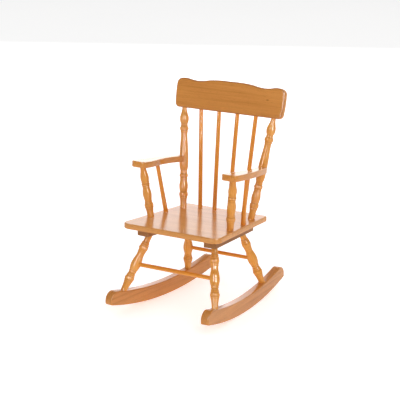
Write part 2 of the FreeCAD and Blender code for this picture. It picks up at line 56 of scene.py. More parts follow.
FLAT_START = 1.35  # where a board's flat face begins, as a multiple of its rim's radius
GRAIN_ALONG_X, GRAIN_ALONG_Y, GRAIN_ALONG_Z = (0, 1, 2), (1, 0, 2), (2, 0, 1)  # along, across and through


class Side(Enum):
    """The two mirrored halves of the chair."""

    LEFT = -1
    RIGHT = 1

    @property
    def word(self) -> str:
        """The side's name as the nodes write it."""
        return self.name.lower()

    def mirror(self, point: Array) -> Array:
        """Return a point or direction of the right half as it lies on this side."""
        return np.asarray(point, float) * np.array([self.value, 1.0, 1.0])


class Cut(Enum):
    """How a piece was sawn from the log, as its distance from the pith in metres."""

    FLAT_SAWN = 0.055
    TURNED = 0.022


class Glow(Enum):
    """What a studio light does.

    A lamp lights and is mirrored, a fill only lights, and a card is only mirrored.
    """

    LAMP = "lamp"
    FILL = "fill"
    CARD = "card"


# ---- curves and grids -------------------------------------------------------------------------------


def monotone(stations: Array, at: Array) -> Array:
    """Follow stations of (place, value) with a cubic that never overshoots them.

    Each span is a Hermite cubic. Its end slopes are the harmonic mean of the two neighbouring chords'
    slopes, or zero where those slopes change sign.

    Args:
        stations: rows of (place, value), places rising.
        at: the places to evaluate.

    Returns:
        The value at each place.
    """
    x, y = stations[:, 0], stations[:, 1]
    step = np.diff(x)
    slope = np.diff(y) / step
    product = slope[:-1] * slope[1:]
    total = np.where(product > 0, slope[:-1] + slope[1:], 1.0)
    inner = np.where(product > 0, 2.0 * product / total, 0.0)
    tangent = np.concatenate([[slope[0]], inner, [slope[-1]]])
    span = np.clip(np.searchsorted(x, at, side="right") - 1, 0, len(step) - 1)
    t = (at - x[span]) / step[span]
    rise = tangent[span] * step[span]
    fall = tangent[span + 1] * step[span]
    return (y[span] * (2 * t**3 - 3 * t**2 + 1) + rise * (t**3 - 2 * t**2 + t)
            + y[span + 1] * (3 * t**2 - 2 * t**3) + fall * (t**3 - t**2))


def arc(start: Sequence[float], stop: Sequence[float], bulge: float = 0.0, count: int = 60) -> Array:
    """Sample a line, or the circular arc that stands out of its chord by a bulge.

    The circle's radius is (chord squared / 4 + bulge squared) / (2 bulge), and its centre lies on the
    chord's middle line on the side away from the bulge.

    Args:
        start: first point (x, y).
        stop: last point (x, y).
        bulge: height of the arc over its chord, positive to the left of the way it runs.
        count: number of points.

    Returns:
        An array of points, count by 2.
    """
    a, b = np.array(start, float), np.array(stop, float)
    share = np.linspace(0.0, 1.0, count)[:, None]
    if abs(bulge) < 1e-9:
        return a + (b - a) * share
    chord = b - a
    length = float(np.hypot(*chord))
    left = np.array([-chord[1], chord[0]]) / length
    radius = (length**2 / 4 + bulge**2) / (2 * abs(bulge))
    centre = (a + b) / 2 - left * math.copysign(radius - abs(bulge), bulge)
    first, last = (math.atan2(*(p - centre)[::-1]) for p in (a, b))
    sweep = (last - first + math.pi) % (2 * math.pi) - math.pi
    angle = first + sweep * share[:, 0]
    return centre + radius * np.stack([np.cos(angle), np.sin(angle)], 1)


def along_length(path: Array, places: Array) -> Array:
    """Find points of an open path by their distance along it, in a straight line between its own points.

    Args:
        path: the path's points.
        places: distances from its start.

    Returns:
        One point for each distance.
    """
    run = np.concatenate([[0.0], np.cumsum(np.hypot(*np.diff(path, axis=0).T))])
    return np.stack([np.interp(places, run, path[:, axis]) for axis in (0, 1)], 1)


def straight_edges(corners: Sequence[tuple[float, float]]) -> list[Array]:
    """Return the straight paths from each corner to the next, round to the first."""
    return [arc(corner, after) for corner, after in zip(corners, [*corners[1:], corners[0]])]


def outline(edges: Sequence[Array], radii: Sequence[float], spacing: float = 1.6) -> Array:
    """Join edges into a closed outline with circular corners, evenly spaced and anticlockwise.

    A corner that turns by an angle gives radius times tan(angle / 2) of both edges to its arc. The arc is
    a rational quadratic curve with the corner as its control point and cos(angle / 2) as its weight.

    Args:
        edges: paths that follow each other round the outline.
        radii: for each edge, the radius of the corner at its start.
        spacing: distance between neighbouring points of the result.

    Returns:
        The closed outline's points, without a repeated first point.
    """
    leaving = np.array([edge[1] - edge[0] for edge in edges])
    coming = np.array([edge[-1] - edge[-2] for edge in edges])
    cosine = (leaving * np.roll(coming, 1, axis=0)).sum(1)
    cosine /= np.hypot(*leaving.T) * np.hypot(*np.roll(coming, 1, axis=0).T)
    half_turn = np.arccos(np.clip(cosine, -1.0, 1.0)) / 2
    cuts = np.maximum(np.array(radii) * np.tan(half_turn), SMALLEST_CUT)
    parts = []
    blend = np.linspace(0.0, 1.0, CORNER_POINTS)[:, None]
    for number, edge in enumerate(edges):
        after = (number + 1) % len(edges)
        length = float(np.hypot(*np.diff(edge, axis=0).T).sum())
        count = max(4, int(length / EDGE_STEP))
        body = along_length(edge, np.linspace(cuts[number], length - cuts[after], count))
        leave = along_length(edges[after], cuts[after:after + 1])[0]
        pull = 2 * blend * (1 - blend) * math.cos(half_turn[after])
        weight = (1 - blend)**2 + pull + blend**2
        corner = ((1 - blend)**2 * body[-1] + pull * edge[-1] + blend**2 * leave) / weight
        parts += [body, corner[1:-1]]
    path = np.vstack(parts + [parts[0][:1]])
    run = np.concatenate([[0.0], np.cumsum(np.hypot(*np.diff(path, axis=0).T))])
    places = np.linspace(0.0, run[-1], int(round(run[-1] / spacing)), endpoint=False)
    ring = along_length(path, places)
    after = np.roll(ring, -1, axis=0)
    area = float((ring[:, 0] * after[:, 1] - after[:, 0] * ring[:, 1]).sum())
    return ring if area > 0 else ring[::-1]


def capped_faces(rows: int, columns: int) -> list[list[int]]:
    """List the faces of a tube of points: the quads between its rings, and a cap at each end.

    A quad joins a point, the next one round its ring, and the two above them, so it faces out when the
    rings rise and run anticlockwise. The bottom cap runs the other way round, to face down.

    Args:
        rows: number of rings.
        columns: number of points in each ring.

    Returns:
        The quads ring by ring, then the bottom cap, then the top cap.
    """
    row, column = np.meshgrid(np.arange(rows - 1), np.arange(columns), indexing="ij")
    here = row * columns + column
    beside = row * columns + (column + 1) % columns
    quads = np.stack([here, beside, beside + columns, here + columns], -1).reshape(-1, 4).tolist()
    bottom, top = list(range(columns))[::-1], list(range((rows - 1) * columns, rows * columns))
    return [*quads, bottom, top]


@dataclass
class Shape:
    """A closed surface in a piece's own axes, with what the finish needs to know of each point.

    Attributes:
        points: places in the piece's own axes, in millimetres.
        faces: quads and end caps as lists of point numbers.
        relief: -1 in a hollow to +1 on a proud edge.
    """

    points: Array
    faces: list[list[int]]
    relief: Array


@dataclass(frozen=True)
class Place:
    """Where a piece's own axes lie: the origin, and a matrix whose columns are the axes."""

    origin: Array
    axes: Array

    def to_chair(self, points: Array) -> Array:
        """Return points of the piece's own axes in the chair's frame."""
        return self.origin + points @ self.axes.T


def upright(foot: Array, head: Array) -> Place:
    """Find the place of a piece that stands on one point with its Z axis towards another.

    Args:
        foot: the piece's origin.
        head: a point on its Z axis.

    Returns:
        The place. Its X axis lies square to the chair's Y axis.
    """
    way = (head - foot) / np.linalg.norm(head - foot)
    side = np.cross([0.0, 1.0, 0.0], way)
    side /= np.linalg.norm(side)
    return Place(foot, np.stack([side, np.cross(way, side), way], 1))


def tilted(origin: Array, angle: float, turn: float = 0.0) -> Place:
    """Find the place of a piece that lies at a tilt.

    Args:
        origin: the piece's origin.
        angle: how far it is tipped about X, in degrees.
        turn: how far it is turned about its own Z before that, in degrees.

    Returns:
        The place, whose axes are the tip's rotation times the turn's.
    """
    a, t = math.radians(angle), math.radians(turn)
    tip = np.array([[1, 0, 0], [0, math.cos(a), -math.sin(a)], [0, math.sin(a), math.cos(a)]])
    spin = np.array([[math.cos(t), -math.sin(t), 0], [math.sin(t), math.cos(t), 0], [0, 0, 1]])
    return Place(np.asarray(origin, float), tip @ spin)


def board(ring: Array, thickness: float, rim: float, ease: Optional[Array] = None) -> Shape:
    """Raise an outline into a board with both rims rounded.

    The surface is a grid of the outline's points by the stations of a section. At a station, each point
    moves inwards along the outline's normal by rim times (1 - cosine) and up by rim times the sine of
    the rim's angle, so the section is a quarter circle, a straight side and a quarter circle.

    Args:
        ring: the outline, anticlockwise.
        thickness: the board's thickness.
        rim: radius of the rounded rims.
        ease: a factor on the rim's radius for each outline point, or None for 1 everywhere.

    Returns:
        The board, its underside at height 0.
    """
    ease = np.ones(len(ring)) if ease is None else ease
    tangent = np.roll(ring, -1, axis=0) - np.roll(ring, 1, axis=0)
    tangent /= np.hypot(*tangent.T)[:, None]
    outward = np.stack([tangent[:, 1], -tangent[:, 0]], 1)
    quarter = np.radians(np.linspace(0.0, 90.0, RIM_POINTS))
    inset = rim * np.concatenate([[FLAT_START], 1 - np.sin(quarter), 1 - np.cos(quarter), [FLAT_START]])
    lower = rim * np.concatenate([[0.0], 1 - np.cos(quarter)])
    upper = rim * np.concatenate([np.sin(quarter) - 1, [0.0]])
    height = np.concatenate([np.zeros(len(lower)), np.full(len(upper), thickness)])[:, None]
    lift = np.concatenate([lower, upper])[:, None] * ease[None, :]
    plan = ring[None, :, :] - outward[None, :, :] * (inset[:, None] * ease[None, :])[:, :, None]
    points = np.concatenate([plan, (height + lift)[:, :, None]], -1)
    edge = np.concatenate([[0.0], np.sin(2 * quarter), np.sin(2 * quarter), [0.0]])
    return Shape(points.reshape(-1, 3), capped_faces(len(inset), len(ring)), np.repeat(edge, len(ring)))


def lathe(radius: Array, height: Array, relief: Array, facets: int) -> Shape:
    """Turn a profile about Z: x and y are radius times cosine and sine, z is the height.

    Args:
        radius: the profile's radii.
        height: the profile's heights, rising.
        relief: the finish's relief at each height.
        facets: number of points round the piece.

    Returns:
        The closed turned surface.
    """
    angle = np.linspace(0.0, 2 * math.pi, facets, endpoint=False)
    points = np.stack([radius[:, None] * np.cos(angle), radius[:, None] * np.sin(angle),
                       np.broadcast_to(height[:, None], (len(height), facets))], -1)
    return Shape(points.reshape(-1, 3), capped_faces(len(height), facets), np.repeat(relief, facets))


@dataclass(frozen=True)
class Bead:
    """A fine turned detail: its height, half width and rise, all in millimetres (a groove's is negative)."""

    height: float
    half_width: float
    rise: float


@dataclass(frozen=True)
class Turning:
    """A lathe profile from the foot's surface to the head's, with its fine beads and grooves.

    Attributes:
        stations: pairs of (height, diameter).
        beads: details added to the smooth line.
        facets: number of points round the piece.
        spacing: distance between rings.
        hollow_reach: length over which a height counts as hollow or proud.
        hollow_depth: difference in radius that counts as fully hollow or proud.
    """

    stations: tuple[tuple[float, float], ...]
    beads: tuple[Bead, ...] = ()
    facets: int = 56
    spacing: float = 0.7
    hollow_reach: float = 9.0
    hollow_depth: float = 0.8

    def radius(self, height: Array) -> Array:
        """Work out the radius: half the smooth line, plus each bead as rise * exp(-(offset / half width)^4).

        Args:
            height: heights above the foot's surface.

        Returns:
            The radius at each height.
        """
        line = monotone(np.array(self.stations, float), height) / 2
        for bead in self.beads:
            line = line + bead.rise * np.exp(-((height - bead.height) / bead.half_width)**4)
        return line

    def shape(self, length: float, tenon: float) -> Shape:
        """Turn the profile, drawn out to a length, with a plain tenon at each end.

        Args:
            length: distance between the two surfaces that the piece stands between.
            tenon: how far each end goes into its board, or how far it stops short where negative.

        Returns:
            The closed turned surface. Relief is the radius less its own average over the hollow's reach.
        """
        height = np.linspace(-tenon, length + tenon, int((length + tenon + tenon) / self.spacing))
        top = self.stations[-1][0]
        radius = self.radius(np.clip(height * top / length, self.stations[0][0], top))
        width = max(3, int(self.hollow_reach / self.spacing)) | 1
        padded = np.pad(radius, width // 2, mode="edge")
        mean = np.convolve(padded, np.full(width, 1.0 / width), mode="valid")
        relief = np.clip((radius - mean) / self.hollow_depth, -1.0, 1.0)
        return lathe(radius, height, relief, self.facets)


# ---- finishes ---------------------------------------------------------------------------------------


class Desk:
    """Places nodes in one node tree and links them."""

    def __init__(self, tree: bpy.types.NodeTree) -> None:
        self.tree = tree

    def add(self, kind: str, inputs: Optional[dict[Any, Any]] = None, **settings: Any) -> bpy.types.Node:
        """Place a node.

        Args:
            kind: the node's type, without its ShaderNode prefix unless it is a group's own node.
            inputs: socket name or number to a value, or to the output that feeds it.
            settings: the node's own options.

        Returns:
            The new node.
        """
        node = self.tree.nodes.new(kind if kind.startswith("NodeGroup") else "ShaderNode" + kind)
        for name, value in settings.items():
            setattr(node, name, value)
        for name, value in (inputs or {}).items():
            if isinstance(value, bpy.types.NodeSocket):
                self.tree.links.new(value, node.inputs[name])
            else:
                node.inputs[name].default_value = value
        return node

    def sum(self, operation: str, first: Any, second: Any = 0.5, clamp: bool = False) -> bpy.types.NodeSocket:
        """Return one arithmetic step on numbers or outputs."""
        node = self.add("Math", {0: first, 1: second}, operation=operation, use_clamp=clamp)
        return node.outputs[0]

    def blend(self, share: Any, first: Any, second: Any, mode: str = "MIX") -> bpy.types.NodeSocket:
        """Return a mix of two colours."""
        node = self.add("Mix", {0: share, 6: first, 7: second}, data_type="RGBA", blend_type=mode)
        return node.outputs[2]

    def span(self, value: Any, low: float, high: float, to_low: float = 0.0,
             to_high: float = 1.0) -> bpy.types.NodeSocket:
        """Return a value moved from one range to another and kept inside it."""
        node = self.add("MapRange", {0: value, 1: low, 2: high, 3: to_low, 4: to_high}, clamp=True)
        return node.outputs[0]

    def stretched_noise(self, place: Any, scale: tuple[float, float, float], detail: float) -> bpy.types.Node:
        """Return a noise drawn out along the grain: the place is multiplied axis by axis first."""
        drawn = self.add("VectorMath", {0: place, 1: scale}, operation="MULTIPLY")
        return self.add("TexNoise", {"Vector": drawn.outputs[0], "Scale": 1.0, "Detail": detail,
                                     "Roughness": 0.55})


def wood_figure() -> bpy.types.NodeTree:
    """Build the grain that every wooden finish shares.

    Growth rings are the fractional part of the distance from the pith over the ring gap, after the place
    is wavered by a slow noise. Fibres, patches and pores are noises drawn out along the grain. A glued-up
    board takes each stave's tint and pith from a random number per stave.

    Returns:
        The node group, with colour, roughness and height outputs.
    """
    group = bpy.data.node_groups.new("wood_figure", "ShaderNodeTree")
    for name, kind, value in (("Place", "NodeSocketVector", None), ("Relief", "NodeSocketFloat", 0.0),
                              ("Pith", "NodeSocketFloat", 0.055), ("Ring Gap", "NodeSocketFloat", 0.008),
                              ("Stave", "NodeSocketFloat", 50.0), ("Waver", "NodeSocketFloat", 0.012),
                              ("Figure", "NodeSocketFloat", 0.5), ("Roughness", "NodeSocketFloat", 0.4),
                              ("Rim Wear And Painted Light", "NodeSocketFloat", 0.0),
                              ("Pale", "NodeSocketColor", (1, 1, 1, 1)),
                              ("Mid", "NodeSocketColor", (1, 1, 1, 1)),
                              ("Deep", "NodeSocketColor", (1, 1, 1, 1))):
        socket = group.interface.new_socket(name, in_out="INPUT", socket_type=kind)
        if value is not None:
            socket.default_value = value
    for name, kind in (("Color", "NodeSocketColor"), ("Roughness", "NodeSocketFloat"),
                       ("Height", "NodeSocketFloat")):
        group.interface.new_socket(name, in_out="OUTPUT", socket_type=kind)
    desk = Desk(group)
    given = desk.add("NodeGroupInput").outputs
    axis = desk.add("SeparateXYZ", {0: given["Place"]}).outputs
    stave = desk.sum("FLOOR", desk.sum("DIVIDE", desk.sum("ADD", axis[1], 25.0), given["Stave"]))
    chance = desk.add("TexWhiteNoise", {"W": stave}, noise_dimensions="1D").outputs["Value"]
    shift = desk.sum("MULTIPLY", desk.sum("SUBTRACT", chance, 0.5), 0.09)
    moved = desk.add("CombineXYZ", {0: desk.sum("ADD", axis[0], desk.sum("MULTIPLY", chance, 3.0)),
                                    1: desk.sum("ADD", axis[1], shift), 2: axis[2]}).outputs[0]
    slow = desk.stretched_noise(moved, (2.4, 11.0, 11.0), 2.0).outputs["Color"]
    centred = desk.add("VectorMath", {0: slow, 1: (0.5, 0.5, 0.5)}, operation="SUBTRACT").outputs[0]
    waver = desk.add("VectorMath", {0: centred, "Scale": given["Waver"]}, operation="SCALE").outputs[0]
    bent = desk.add("SeparateXYZ", {0: desk.add("VectorMath", {0: moved, 1: waver}).outputs[0]}).outputs
    pith = desk.add("CombineXYZ", {0: 0.0, 1: bent[1], 2: desk.sum("ADD", bent[2], given["Pith"])}).outputs[0]
    reach = desk.add("VectorMath", {0: pith}, operation="LENGTH").outputs["Value"]
    ring = desk.sum("FRACT", desk.sum("DIVIDE", reach, given["Ring Gap"]))
    late = desk.sum("MULTIPLY", desk.sum("POWER", ring, 2.2), desk.span(ring, 0.88, 1.0, 1.0, 0.0))
    fibre = desk.stretched_noise(moved, (9.0, 420.0, 420.0), 3.0).outputs[0]
    streak = desk.stretched_noise(moved, (3.5, 95.0, 95.0), 3.0).outputs[0]
    patch = desk.stretched_noise(moved, (4.0, 16.0, 16.0), 2.0).outputs[0]
    pore = desk.span(desk.stretched_noise(moved, (70.0, 1700.0, 1700.0), 1.0).outputs[0], 0.63, 0.70)
    tone = desk.add("TexNoise", {"Vector": given["Place"], "Scale": 0.11, "Detail": 0.0}).outputs[0]
    darker = desk.sum("MULTIPLY", late, given["Figure"])
    darker = desk.sum("ADD", darker, desk.span(streak, 0.35, 0.68, 0.0, 0.42))
    darker = desk.sum("ADD", darker, desk.span(fibre, 0.3, 0.7, -0.08, 0.14))
    darker = desk.sum("ADD", darker, desk.span(patch, 0.3, 0.7, -0.16, 0.22))
    darker = desk.sum("ADD", darker, desk.span(chance, 0.0, 1.0, -0.08, 0.08))
    darker = desk.sum("ADD", darker, desk.span(tone, 0.3, 0.7, -0.12, 0.12), clamp=True)
    colour = desk.blend(darker, given["Pale"], given["Mid"])
    hollow = desk.span(given["Relief"], 0.0, -0.9, 0.0, 0.38)
    deepened = desk.sum("MAXIMUM", hollow, desk.sum("MULTIPLY", pore, 0.35))
    deepened = desk.sum("MAXIMUM", deepened, desk.span(desk.sum("ADD", darker, late), 1.15, 1.9, 0.0, 0.5))
    colour = desk.blend(deepened, colour, given["Deep"])
    # Paints the rims and proud beads by their relief. A negative weight makes them paler, as rubbed wear and
    # a painted highlight. A positive weight makes them darker, as painted shade.
    rim_wear_and_light = desk.sum("MULTIPLY", desk.span(given["Relief"], 0.25, 1.0), given["Rim Wear And Painted Light"])
    colour = desk.blend(desk.sum("MULTIPLY", rim_wear_and_light, -1.0, clamp=True), colour, given["Pale"])
    colour = desk.blend(desk.sum("MULTIPLY", rim_wear_and_light, 1.0, clamp=True), colour, given["Deep"])
    rough = desk.sum("ADD", given["Roughness"], desk.span(patch, 0.25, 0.75, -0.05, 0.07))
    rough = desk.sum("ADD", rough, desk.sum("MULTIPLY", pore, 0.15), clamp=True)
    height = desk.sum("SUBTRACT", desk.sum("MULTIPLY", fibre, 0.6), desk.sum("MULTIPLY", pore, 0.9))
    height = desk.sum("ADD", height, desk.sum("MULTIPLY", late, 0.25))
    desk.add("NodeGroupOutput", {"Color": colour, "Roughness": rough, "Height": height})
    return group


FIGURE = wood_figure()


@dataclass(frozen=True)
class LacqueredWood:
    """Stained wood under clear lacquer.

    Attributes:
        name: the material's name.
        slot: the record's material slot it goes with; not used.
        pale, mid, deep: stain colours of early wood, late wood and hollows, linear.
        cut: how the piece was sawn.
        ring_gap: distance between growth rings, in metres.
        figure: strength of the rings, 0 to 1.
        stave: width of the glued staves, in metres; 50 for a piece of one stave.
        gloss: weight of the lacquer coat, 0 to 1.
        coat_roughness: roughness of the lacquer.
        roughness: roughness of the wood below it.
        rim_wear_and_painted_light: how the rims are painted, from -1 pale (rubbed wear and a painted
            highlight) to 1 dark (painted shade).
        edge_gloss: share of the coat left where the surface turns away from the eye.
        knot: place of one small knot in grain axes, in metres, or None.
    """

    name: str
    slot: str
    pale: tuple[float, float, float]
    mid: tuple[float, float, float]
    deep: tuple[float, float, float]
    cut: Cut = Cut.FLAT_SAWN
    ring_gap: float = 0.008
    figure: float = 0.5
    stave: float = 50.0
    gloss: float = 1.0
    coat_roughness: float = 0.09
    roughness: float = 0.42
    # By default the rims are painted a little pale: rubbed wear and a painted highlight.
    rim_wear_and_painted_light: float = -0.2
    edge_gloss: float = 1.0
    knot: Optional[tuple[float, float, float]] = None

    def material(self) -> bpy.types.Material:
        """Build the material: the shared figure, an optional knot, fine bump and a lacquer coat.

        Returns:
            The new material.
        """
        material = bpy.data.materials.new(self.name)
        material.use_nodes = True
        tree = material.node_tree
        tree.nodes.clear()
        desk = Desk(tree)
        place = desk.add("Attribute", attribute_name="grain").outputs["Vector"]
        relief = desk.add("Attribute", attribute_name="relief").outputs["Fac"]
        figure = desk.add("Group", node_tree=FIGURE)
        for name, value in (("Pith", self.cut.value), ("Ring Gap", self.ring_gap), ("Stave", self.stave),
                            ("Figure", self.figure), ("Roughness", self.roughness),
                            ("Rim Wear And Painted Light", self.rim_wear_and_painted_light), ("Pale", (*self.pale, 1)),
                            ("Mid", (*self.mid, 1)), ("Deep", (*self.deep, 1))):
            figure.inputs[name].default_value = value
        tree.links.new(place, figure.inputs["Place"])
        tree.links.new(relief, figure.inputs["Relief"])
        colour = figure.outputs["Color"]
        if self.knot is not None:
            away = desk.add("VectorMath", {0: place, 1: self.knot}, operation="SUBTRACT").outputs[0]
            oval = desk.add("VectorMath", {0: away, 1: (0.55, 1.0, 0.25)}, operation="MULTIPLY").outputs[0]
            reach = desk.add("VectorMath", {0: oval}, operation="LENGTH").outputs["Value"]
            colour = desk.blend(desk.span(reach, 0.0015, 0.0048, 0.85, 0.0), colour, (*self.deep, 1))
        bump = desk.add("Bump", {"Strength": 0.35, "Distance": 0.0003, "Height": figure.outputs["Height"]})
        turned_away = desk.add("LayerWeight", {"Blend": 0.5}).outputs["Facing"]
        coat = desk.span(turned_away, 0.35, 0.95, self.gloss, self.gloss * self.edge_gloss)
        shader = desk.add("BsdfPrincipled", {
            "Base Color": colour, "Roughness": figure.outputs["Roughness"], "Normal": bump.outputs[0],
            "Specular IOR Level": 0.0, "Coat Weight": coat, "Coat Roughness": self.coat_roughness,
            "Coat IOR": 1.36, "Coat Tint": (1.0, 0.975, 0.94, 1.0)})
        desk.add("OutputMaterial", {0: shader.outputs[0]})
        return material


@dataclass(frozen=True)
class PlatedSteel:
    """Zinc-plated steel of the screws and brads."""

    name: str = "plated_steel"
    colour: tuple[float, float, float] = (0.58, 0.58, 0.60)

    def material(self) -> bpy.types.Material:
        """Build the material: a metal whose roughness and tone change with a fine noise.

        Returns:
            The new material.
        """
        material = bpy.data.materials.new(self.name)
        material.use_nodes = True
        material.node_tree.nodes.clear()
        desk = Desk(material.node_tree)
        place = desk.add("TexCoord").outputs["Object"]
        cloud = desk.add("TexNoise", {"Vector": place, "Scale": 900.0, "Detail": 3.0}).outputs[0]
        tone = desk.blend(desk.span(cloud, 0.3, 0.7), (*self.colour, 1), (0.42, 0.41, 0.40, 1))
        shader = desk.add("BsdfPrincipled", {"Base Color": tone, "Metallic": 1.0,
                                             "Roughness": desk.span(cloud, 0.3, 0.7, 0.25, 0.5)})
        desk.add("OutputMaterial", {0: shader.outputs[0]})
        return material


@dataclass(frozen=True)
class PaperFloor:
    """The plain white studio floor, lit a little from below so that it keeps its shadows faint."""

    name: str = "white_floor"
    tone: float = 0.93
    glow: float = 0.50

    def material(self) -> bpy.types.Material:
        """Build the material: a matt white whose tone drifts very slightly.

        Returns:
            The new material.
        """
        material = bpy.data.materials.new(self.name)
        material.use_nodes = True
        material.node_tree.nodes.clear()
        desk = Desk(material.node_tree)
        place = desk.add("TexCoord").outputs["Object"]
        cloud = desk.add("TexNoise", {"Vector": place, "Scale": 0.6, "Detail": 1.0}).outputs[0]
        low, high = (self.tone - 0.01,) * 3, (self.tone,) * 3
        tone = desk.blend(desk.span(cloud, 0.3, 0.7), (*low, 1), (*high, 1))
        shader = desk.add("BsdfPrincipled", {"Base Color": tone, "Roughness": 0.9, "Specular IOR Level": 0.1,
                                             "Emission Color": tone, "Emission Strength": self.glow})
        desk.add("OutputMaterial", {0: shader.outputs[0]})
        return material


SEAT_FINISH = LacqueredWood("seat_lacquer", "seat_board", (0.74, 0.34, 0.095), (0.58, 0.235, 0.055),
                            (0.28, 0.075, 0.014), ring_gap=0.009, figure=0.30, stave=0.062,
                            coat_roughness=0.19)
# The crest's rims are painted dark towards the deep colour: painted shade along its edges.
CREST_FINISH = LacqueredWood("crest_lacquer", "crest_board", (0.70, 0.30, 0.072), (0.54, 0.205, 0.042),
                             (0.26, 0.07, 0.012), ring_gap=0.010, figure=0.26, coat_roughness=0.16,
                             rim_wear_and_painted_light=0.55, edge_gloss=0.45, knot=(0.146, 0.057, 0.010))
ARM_FINISH = LacqueredWood("arm_lacquer", "arm_board", (0.74, 0.32, 0.07), (0.56, 0.205, 0.038),
                           (0.28, 0.07, 0.010), ring_gap=0.007, figure=0.30, coat_roughness=0.08)
ROCKER_FINISH = LacqueredWood("rocker_lacquer", "rocker_stock", (0.68, 0.295, 0.08), (0.50, 0.19, 0.042),
                              (0.24, 0.065, 0.012), ring_gap=0.008, figure=0.30, coat_roughness=0.12)
# The cleats' colours are far darker than the other pieces': painted shade for their place under the seat.
CLEAT_FINISH = LacqueredWood("cleat_stain", "cleat_stock", (0.40, 0.19, 0.07), (0.28, 0.12, 0.038),
                             (0.12, 0.04, 0.012), ring_gap=0.006, figure=0.35, gloss=0.4,
                             coat_roughness=0.3, roughness=0.55)
TURNED_FINISH = LacqueredWood("turned_lacquer", "turned_stock", (0.84, 0.39, 0.080), (0.68, 0.26, 0.040),
                              (0.34, 0.085, 0.008), cut=Cut.TURNED, ring_gap=0.006, figure=0.35,
                              coat_roughness=0.035, edge_gloss=0.2)
DOWEL_FINISH = LacqueredWood("dowel_lacquer", "dowel_stock", (0.84, 0.34, 0.050), (0.66, 0.22, 0.024),
                             (0.34, 0.08, 0.006), cut=Cut.TURNED, ring_gap=0.005, figure=0.35,
                             coat_roughness=0.10, edge_gloss=0.3)
PLUG_FINISH = LacqueredWood("plug_lacquer", "plug_stock", (0.58, 0.24, 0.055), (0.40, 0.13, 0.028),
                            (0.18, 0.05, 0.01), cut=Cut.TURNED, ring_gap=0.0016, figure=0.6,
                            coat_roughness=0.1)


# ---- the chair --------------------------------------------------------------------------------------


@dataclass(frozen=True)
class Stance:
    """Where the chair's main surfaces lie when it stands still, in millimetres and degrees."""

    seat_front_y: float = -209.0
    seat_front_height: float = 296.0
    seat_tilt: float = 2.2
    seat_thickness: float = 18.0
    cleat_height: float = 29.0
    arm_slope: float = 6.3
    arm_top: float = 468.8
    arm_thickness: float = 20.0
    rocker_radius: float = 1130.0
    rocker_height: float = 48.5
    rocker_contact: float = 8.5
    crest_y: float = 158.5
    crest_z: float = 610.6
    crest_lean: float = 13.0
    post_foot: tuple[float, float] = (131.5, 87.0)
    post_head_x: float = 171.0

    def seat_top(self, x: float, y: float) -> Array:
        """Return the point of the seat's top face at a plan position."""
        fall = math.tan(math.radians(self.seat_tilt)) * (y - self.seat_front_y)
        return np.array([x, y, self.seat_front_height - fall])

    def cleat_bottom(self, x: float, y: float) -> Array:
        """Return the point of a cleat's underside at a plan position."""
        drop = (self.seat_thickness + self.cleat_height) / math.cos(math.radians(self.seat_tilt))
        return self.seat_top(x, y) - [0, 0, drop]

    def arm_bottom(self, x: float, y: float) -> Array:
        """Return the point of an arm's underside at a plan position."""
        slope = math.radians(self.arm_slope)
        return np.array([x, y, self.arm_top - math.tan(slope) * y - self.arm_thickness / math.cos(slope)])

    def rocker_floor(self, y: float) -> float:
        """Return the underside's height: radius less the root of radius squared less offset squared."""
        return self.rocker_radius - math.sqrt(self.rocker_radius**2 - (y - self.rocker_contact)**2)

    def rocker_top(self, x: float, y: float) -> Array:
        """Return the point of a rocker's top face at a plan position."""
        return np.array([x, y, self.rocker_floor(y) + self.rocker_height])

    def crest_bottom(self, x: float) -> Array:
        """Return the middle of the crest rail's bottom edge at a place along it."""
        return np.array([x, self.crest_y, self.crest_z])

    def leg(self, end: "End") -> tuple[Array, Array]:
        """Return the foot and head of a right leg's axis."""
        (fx, fy), (hx, hy) = end.value
        return self.rocker_top(fx, fy), self.cleat_bottom(hx, hy)

    def post(self) -> tuple[Array, Array]:
        """Return the foot and head of the right back post's axis."""
        return self.seat_top(*self.post_foot), self.crest_bottom(self.post_head_x)


class End(Enum):
    """The two pairs of legs, with the plan positions of a right leg's foot and head."""

    FRONT = ((173.2, -209.0), (123.0, -130.0))
    BACK = ((146.0, 137.5), (102.5, 73.0))


STANCE = Stance()


